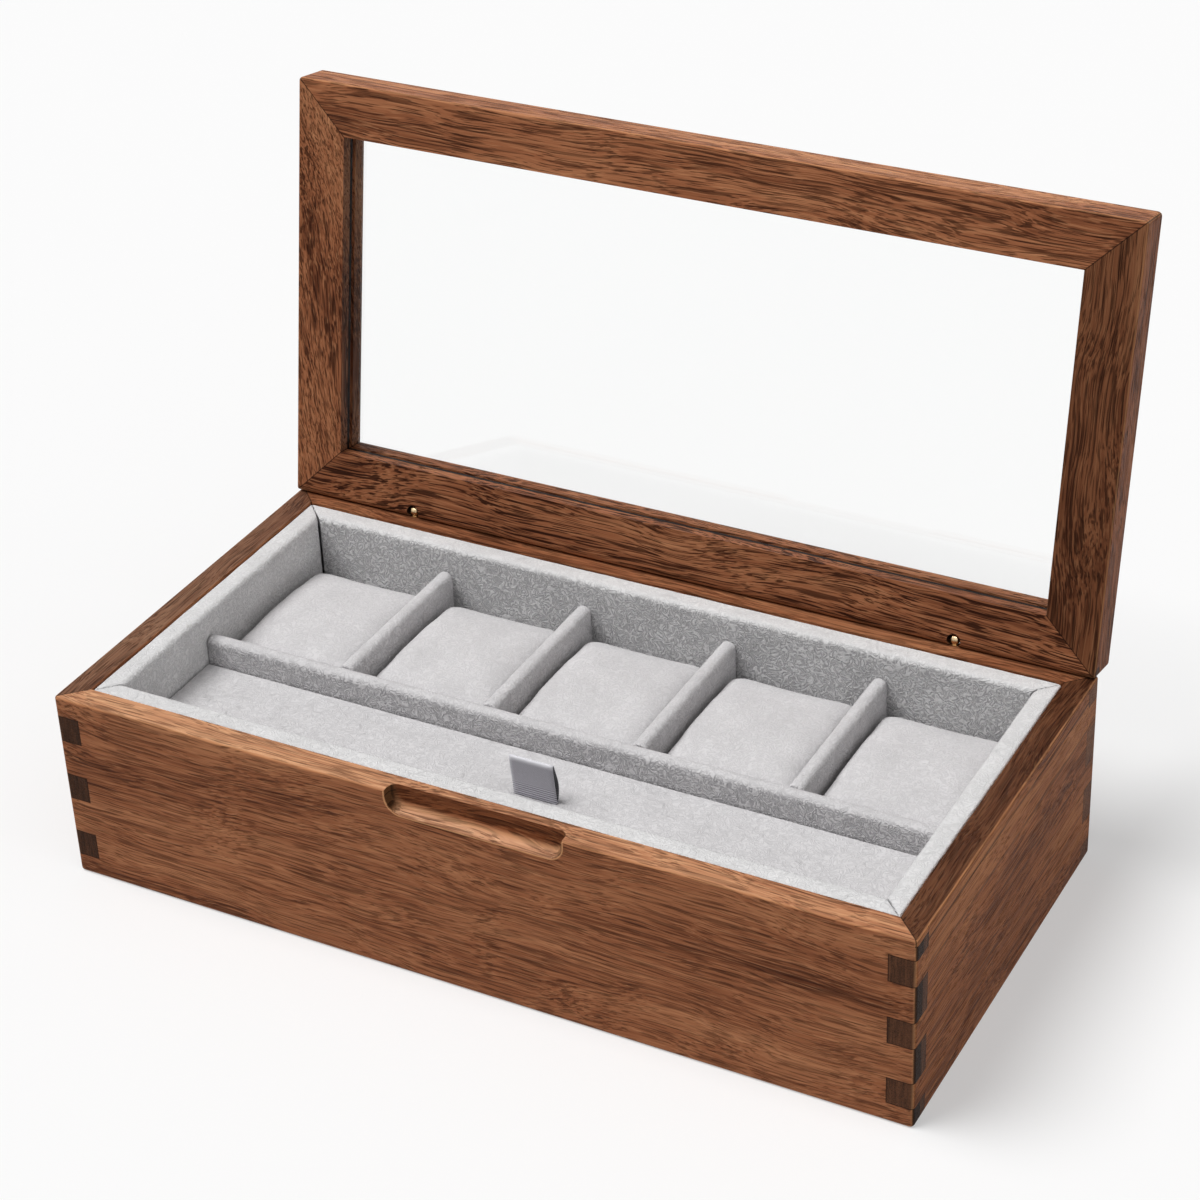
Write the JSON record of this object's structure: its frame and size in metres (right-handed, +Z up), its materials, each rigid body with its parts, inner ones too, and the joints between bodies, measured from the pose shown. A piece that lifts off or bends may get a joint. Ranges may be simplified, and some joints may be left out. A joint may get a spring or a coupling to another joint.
{
  "type": "watch box",
  "caption": "Finger-jointed wooden watch box with a hinged glass lid, suede lining, cushioned watch compartments and a front tray with a lift-out floor.",
  "frame": {"origin": "middle of the flat underside, on the surface that the box stands on", "axes": "+X to the right along the front, +Y to the back where the hinges are, +Z up"},
  "size_m": [0.33, 0.2043, 0.2395],
  "materials": {
    "walnut": "oiled satin",
    "suede_board": "suede over board",
    "cushion_suede": "soft suede",
    "ribbon": "ribbed satin",
    "brass": "polished",
    "glass": "clear",
    "plywood": "sanded",
    "felt": "felt"
  },
  "bodies": {
    "case": {"front_panel": "walnut", "back_panel": "walnut", "left_panel": "walnut", "right_panel": "walnut", "base_panel": "plywood", "base_felt": "felt", "compartment_floor": "suede_board", "tray_divider": "suede_board", "hinge_stud_left": "brass", "hinge_stud_right": "brass", "liner_front": "suede_board", "liner_back": "suede_board", "liner_left": "suede_board", "liner_right": "suede_board", "tray_cleat_left": "plywood", "tray_cleat_right": "plywood", "divider_1": "suede_board", "divider_2": "suede_board", "divider_3": "suede_board", "divider_4": "suede_board"},
    "lid": {"lid_front_rail": "walnut", "lid_back_rail": "walnut", "lid_left_stile": "walnut", "lid_right_stile": "walnut", "lid_glass": "glass", "hinge_fork_left": "brass", "hinge_pin_left": "brass", "hinge_fork_right": "brass", "hinge_pin_right": "brass"},
    "tray": {"tray_floor": "suede_board", "pull_ribbon": "ribbon"},
    "cushion_1": {"cushion_1": "cushion_suede"},
    "cushion_2": {"cushion_2": "cushion_suede"},
    "cushion_3": {"cushion_3": "cushion_suede"},
    "cushion_4": {"cushion_4": "cushion_suede"},
    "cushion_5": {"cushion_5": "cushion_suede"}
  },
  "joints": [
    {"name": "lid_hinge", "type": "hinge", "parent": "case", "child": "lid", "pos_m": [0, 0.0802, 0.079], "axis": [1, 0, 0], "range_deg": [0, 100]},
    {"name": "tray_floor_lift", "type": "slide", "parent": "case", "child": "tray", "axis": [0, 0, 1], "range_m": [0, 0.007]},
    {"name": "cushion_1_lift", "type": "slide", "parent": "case", "child": "cushion_1", "axis": [0, 0, 1], "range_m": [0, 0.015]},
    {"name": "cushion_2_lift", "type": "slide", "parent": "case", "child": "cushion_2", "axis": [0, 0, 1], "range_m": [0, 0.015]},
    {"name": "cushion_3_lift", "type": "slide", "parent": "case", "child": "cushion_3", "axis": [0, 0, 1], "range_m": [0, 0.015]},
    {"name": "cushion_4_lift", "type": "slide", "parent": "case", "child": "cushion_4", "axis": [0, 0, 1], "range_m": [0, 0.015]},
    {"name": "cushion_5_lift", "type": "slide", "parent": "case", "child": "cushion_5", "axis": [0, 0, 1], "range_m": [0, 0.015]}
  ]
}
